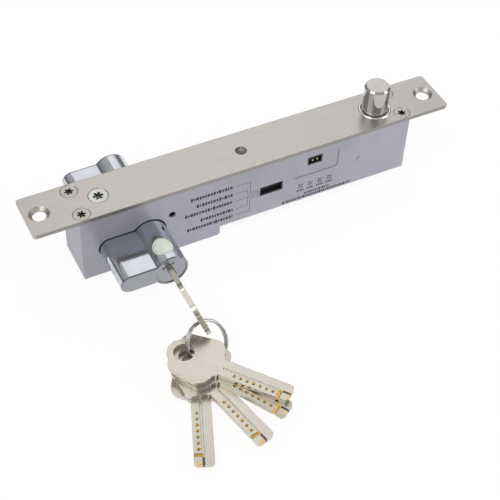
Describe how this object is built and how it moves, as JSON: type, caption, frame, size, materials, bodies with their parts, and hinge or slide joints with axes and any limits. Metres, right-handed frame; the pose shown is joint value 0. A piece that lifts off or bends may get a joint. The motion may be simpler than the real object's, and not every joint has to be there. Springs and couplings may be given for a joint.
{
  "type": "electric drop-bolt lock",
  "caption": "Solenoid drop-bolt mortise lock: long faceplate, case, round bolt, double profile cylinder with a key and a ring of keys.",
  "frame": {"origin": "midway between the two fixing holes, on the back face of the faceplate", "axes": "+X along the faceplate towards the bolt, +Z out of the front of the faceplate, +Y away from the printed side of the case"},
  "size_m": [0.216, 0.1704, 0.0538],
  "materials": {
    "brushed_steel": "brushed lengthwise",
    "case_paint": "satin silver-lavender paint",
    "screw_steel": "bright zinc",
    "black_plastic": "matt",
    "lens": "clear",
    "chrome": "polished",
    "machined_steel": "machined",
    "plated_steel": "zinc plated",
    "spring_steel": "drawn wire",
    "white_plastic": "matt",
    "copper_wire": "enamelled",
    "board_green": "solder mask",
    "gold_pins": "gold plated",
    "blue_plastic": "gloss",
    "satin_nickel": "satin nickel plate",
    "pin_brass": "turned",
    "key_metal": "satin nickel silver"
  },
  "bodies": {
    "lock_case": {"faceplate": "brushed_steel", "case": "case_paint", "rear_cover": "case_paint", "cover_screws": "screw_steel", "case_screws": "screw_steel", "case_rivet": "screw_steel", "cylinder_screw": "screw_steel", "led_bezel": "black_plastic", "led_lens": "lens", "bolt_bush": "chrome", "crank_pin": "machined_steel", "plunger_spring": "spring_steel", "solenoid_frame": "machined_steel", "coil_bobbin": "white_plastic", "coil_winding": "copper_wire", "solenoid_core": "machined_steel", "circuit_board": "board_green", "wire_connector": "black_plastic", "connector_pins": "gold_pins", "delay_header": "black_plastic", "header_pins": "gold_pins", "relay": "blue_plastic", "control_chip": "black_plastic", "capacitor": "black_plastic", "door_sensor": "black_plastic", "bolt_sensor": "black_plastic", "bar_guides": "machined_steel", "cylinder_body": "satin_nickel", "rear_plug": "satin_nickel", "plug_clip_rear": "spring_steel", "rear_key_pins": "pin_brass", "driver_pins": "pin_brass", "pin_springs": "spring_steel", "chamber_plugs": "machined_steel"},
    "bolt": {"bolt": "chrome", "bolt_pin": "machined_steel"},
    "crank": {"crank": "plated_steel"},
    "plunger": {"plunger": "machined_steel", "plunger_pin": "machined_steel"},
    "override_bar": {"override_bar": "plated_steel"},
    "front_plug": {"front_plug": "satin_nickel", "cam": "plated_steel", "plug_clip_front": "spring_steel", "front_key_pins": "pin_brass"},
    "key_in_lock": {"key_in_lock": "key_metal"},
    "key_ring": {"key_ring": "chrome"},
    "loose_key_1": {"loose_key_1": "key_metal"},
    "loose_key_2": {"loose_key_2": "key_metal"},
    "loose_key_3": {"loose_key_3": "key_metal"},
    "loose_key_4": {"loose_key_4": "key_metal"}
  },
  "joints": [
    {"name": "bolt_slide", "type": "slide", "parent": "lock_case", "child": "bolt", "axis": [0, 0, 1], "range_m": [-0.0148, 0], "stiffness_N_per_m": 60, "springref_m": 0.01},
    {"name": "crank_turn", "type": "hinge", "parent": "lock_case", "child": "crank", "pos_m": [0.056, 0, -0.0198], "axis": [0, 1, 0], "range_deg": [0, 47.06]},
    {"name": "plunger_slide", "type": "slide", "parent": "lock_case", "child": "plunger", "axis": [1, 0, 0], "range_m": [-0.00663, 0], "deforming": ["plunger_spring"]},
    {"name": "key_turn", "type": "hinge", "parent": "lock_case", "child": "front_plug", "pos_m": [-0.0534, -0.0374, -0.0206], "axis": [0, 1, 0], "range_deg": [-20, 20]},
    {"name": "override_slide", "type": "slide", "parent": "lock_case", "child": "override_bar", "axis": [1, 0, 0], "range_m": [-0.00501, 0.00501]},
    {"name": "key_slide", "type": "slide", "parent": "front_plug", "child": "key_in_lock", "axis": [0, 1, 0], "range_m": [-0.018, 0.0128]},
    {"name": "ring_swing", "type": "hinge", "parent": "key_in_lock", "child": "key_ring", "pos_m": [-0.05379, -0.0704, -0.0199], "axis": [0, 1, 0], "range_deg": [-20.01, 20.01]},
    {"name": "loose_key_1_swing", "type": "hinge", "parent": "key_ring", "child": "loose_key_1", "pos_m": [-0.0607, -0.08351, -0.03265], "axis": [0, 0, 1], "range_deg": [-12, 12]},
    {"name": "loose_key_2_swing", "type": "hinge", "parent": "key_ring", "child": "loose_key_2", "pos_m": [-0.06281, -0.08229, -0.03025], "axis": [0, 0, 1], "range_deg": [-12, 12]},
    {"name": "loose_key_3_swing", "type": "hinge", "parent": "key_ring", "child": "loose_key_3", "pos_m": [-0.06391, -0.08069, -0.02785], "axis": [0, 0, 1], "range_deg": [-12, 12]},
    {"name": "loose_key_4_swing", "type": "hinge", "parent": "key_ring", "child": "loose_key_4", "pos_m": [-0.06414, -0.07878, -0.02545], "axis": [0, 0, 1], "range_deg": [-12, 6]}
  ],
  "couplings": [
    {"joint": "crank_turn", "follows": "bolt_slide", "rad_per_m": -55.481},
    {"joint": "plunger_slide", "follows": "bolt_slide", "ratio": 0.44706},
    {"joint": "override_slide", "follows": "key_turn", "m_per_rad": 0.014324},
    {"joint": "ring_swing", "follows": "key_turn", "ratio": -1}
  ]
}
